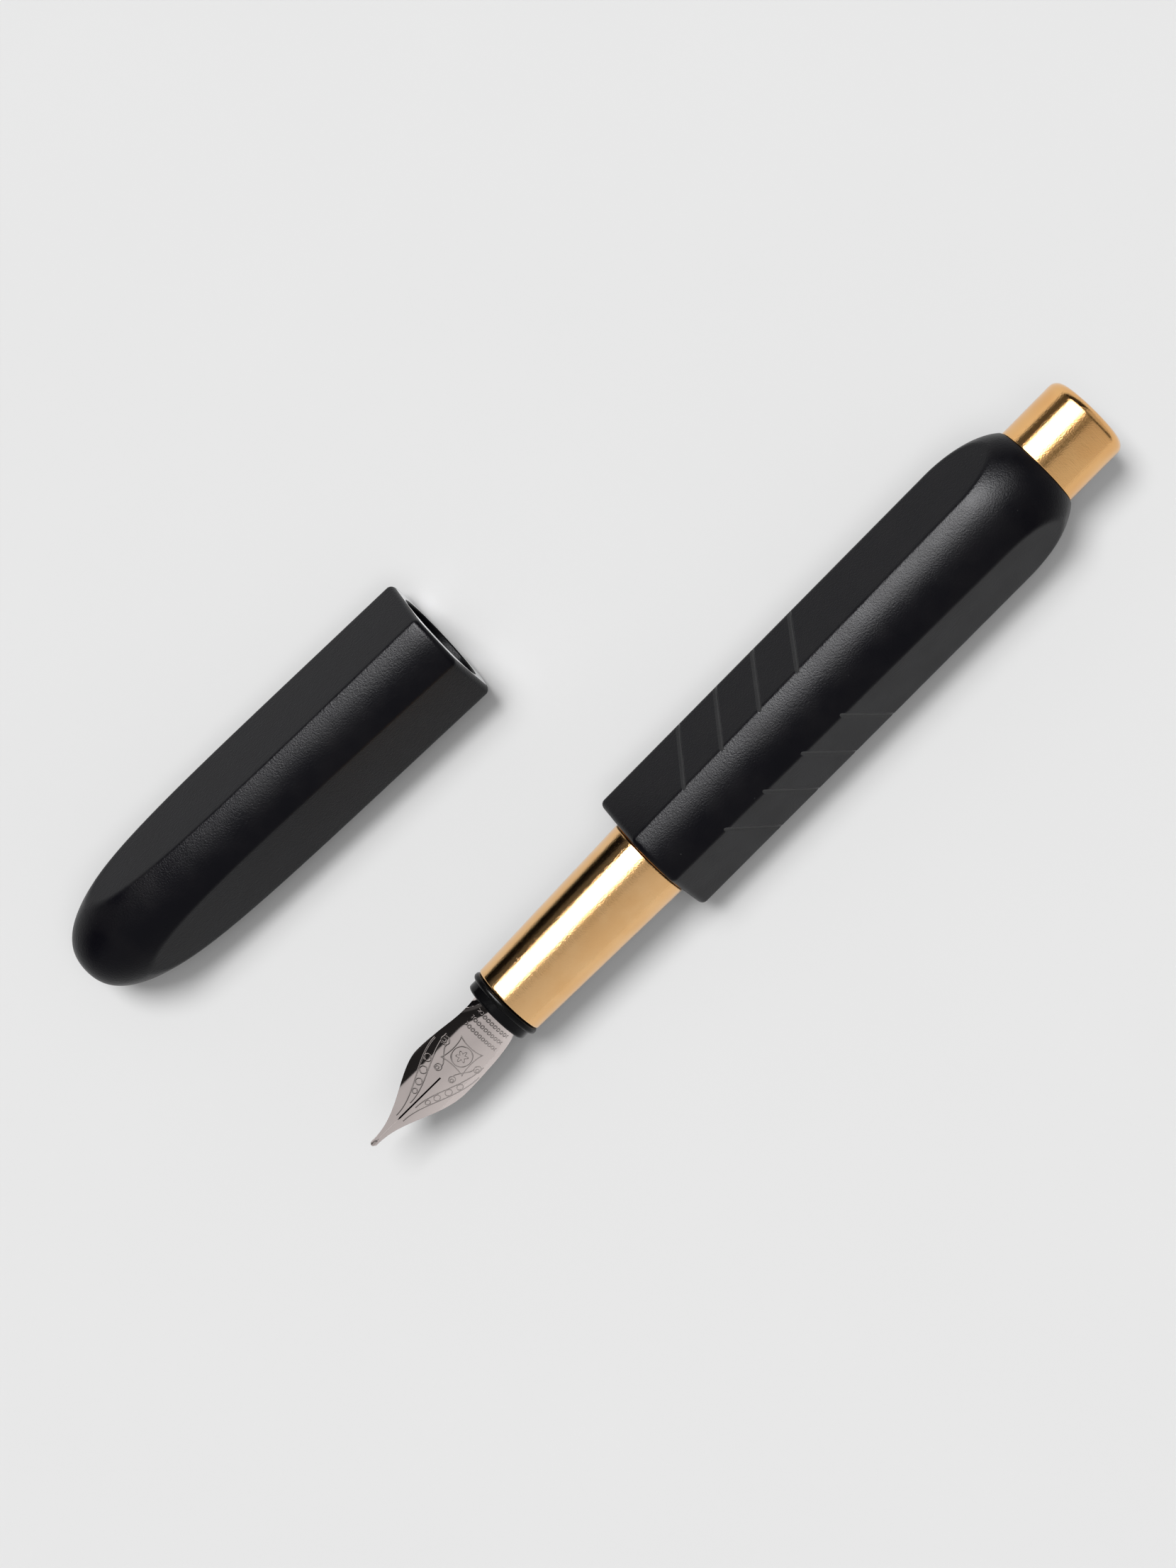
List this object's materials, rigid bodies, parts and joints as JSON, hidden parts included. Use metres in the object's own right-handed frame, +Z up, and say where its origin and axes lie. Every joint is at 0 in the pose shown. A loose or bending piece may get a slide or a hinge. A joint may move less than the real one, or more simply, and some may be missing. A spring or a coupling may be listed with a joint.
{
  "type": "fountain pen",
  "caption": "Pocket fountain pen with a three-flatted matte black barrel and domed cap, a turned brass grip and tail knob, and a steel nib, shown with the cap off and laid beside it.",
  "frame": {"origin": "on the barrel's lower flat, which the pen lies on, halfway along the barrel and under its axis", "axes": "+X along the pen from the nib to the tail knob, +Y towards the cap that lies beside it, +Z up from the surface"},
  "size_m": [0.1186, 0.0496, 0.0142],
  "materials": {
    "soft_black": "matte soft-touch paint over aluminium",
    "polished_brass": "polished",
    "plain_brass": "as turned",
    "steel": "plain",
    "nib_steel": "polished, engraved",
    "chrome": "plated",
    "rubber": "satin",
    "black_plastic": "moulded",
    "white_plastic": "moulded",
    "clear_plastic": "clear moulded"
  },
  "bodies": {
    "barrel": {"barrel_shell": "soft_black", "barrel_liner": "plain_brass", "tail_knob": "polished_brass", "tail_screw": "steel", "tail_washer": "steel"},
    "section": {"grip_section": "polished_brass", "spigot_o_ring": "rubber"},
    "nib_unit": {"nib_housing": "black_plastic", "nib_seal_ring": "rubber", "nib": "nib_steel", "nib_point": "nib_steel", "feed": "black_plastic"},
    "converter": {"converter_tube": "clear_plastic", "converter_band": "chrome", "converter_guide": "black_plastic"},
    "converter_knob": {"turning_knob": "black_plastic", "drive_screw": "steel"},
    "piston": {"piston_rod": "white_plastic", "piston_seal": "rubber"},
    "cap": {"cap_shell": "soft_black", "inner_cap": "black_plastic", "inner_cap_ring": "steel", "inner_cap_screw": "steel"}
  },
  "joints": [
    {"name": "cap_pull", "type": "slide", "parent": "barrel", "child": "cap", "axis": [-0.9991, 0.0419, 0], "range_m": [0, 0.046]},
    {"name": "section_pull", "type": "slide", "parent": "barrel", "child": "section", "axis": [-1, 0, 0], "range_m": [0, 0.0456]},
    {"name": "nib_unit_pull", "type": "slide", "parent": "section", "child": "nib_unit", "axis": [-1, 0, 0], "range_m": [0, 0.018]},
    {"name": "converter_pull", "type": "slide", "parent": "section", "child": "converter", "axis": [1, 0, 0], "range_m": [0, 0.008]},
    {"name": "converter_knob_turn", "type": "hinge", "parent": "converter", "child": "converter_knob", "pos_m": [0.0123, 0, 0.00633], "axis": [1, 0, 0], "range_deg": [0, 1620]},
    {"name": "piston_slide", "type": "slide", "parent": "converter", "child": "piston", "axis": [-1, 0, 0], "range_m": [0, 0.018]}
  ],
  "couplings": [
    {"joint": "converter_knob_turn", "follows": "piston_slide", "rad_per_m": 1570.8}
  ]
}
